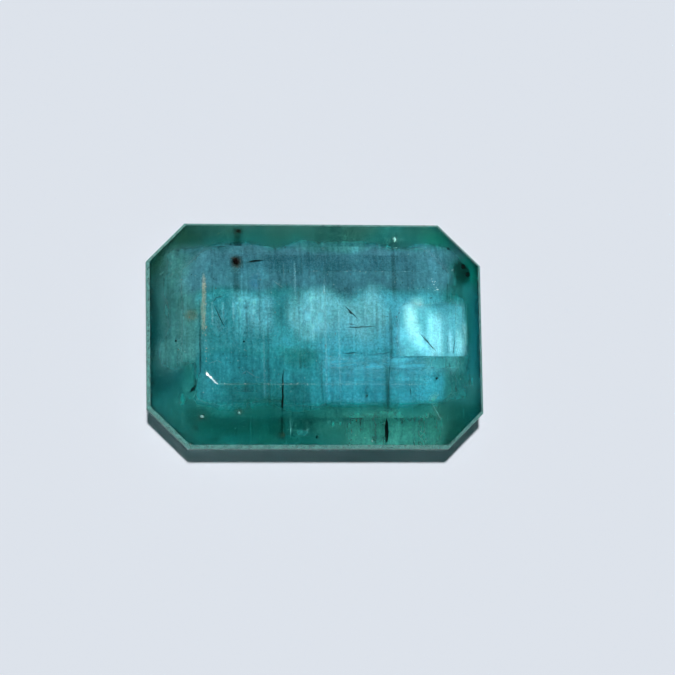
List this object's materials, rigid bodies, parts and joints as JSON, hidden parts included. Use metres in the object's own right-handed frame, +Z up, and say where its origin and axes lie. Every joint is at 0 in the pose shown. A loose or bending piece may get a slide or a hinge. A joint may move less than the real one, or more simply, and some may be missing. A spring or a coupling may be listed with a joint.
{
  "type": "faceted emerald gemstone",
  "caption": "Loose step-cut emerald: a rectangle with cut corners, flat table, broad crown facets, thin girdle, stepped pavilion and a small flat culet that it stands on.",
  "frame": {"origin": "middle of the stone's footprint, at the height of the flat culet it stands on", "axes": "+X along the long way of the stone, +Y across it, +Z up through the table"},
  "size_m": [0.0142, 0.0096, 0.0042],
  "materials": {
    "emerald": "polished natural emerald, see-through but heavily included, bluish green"
  },
  "bodies": {
    "root": {"emerald": "emerald"}
  },
  "joints": []
}
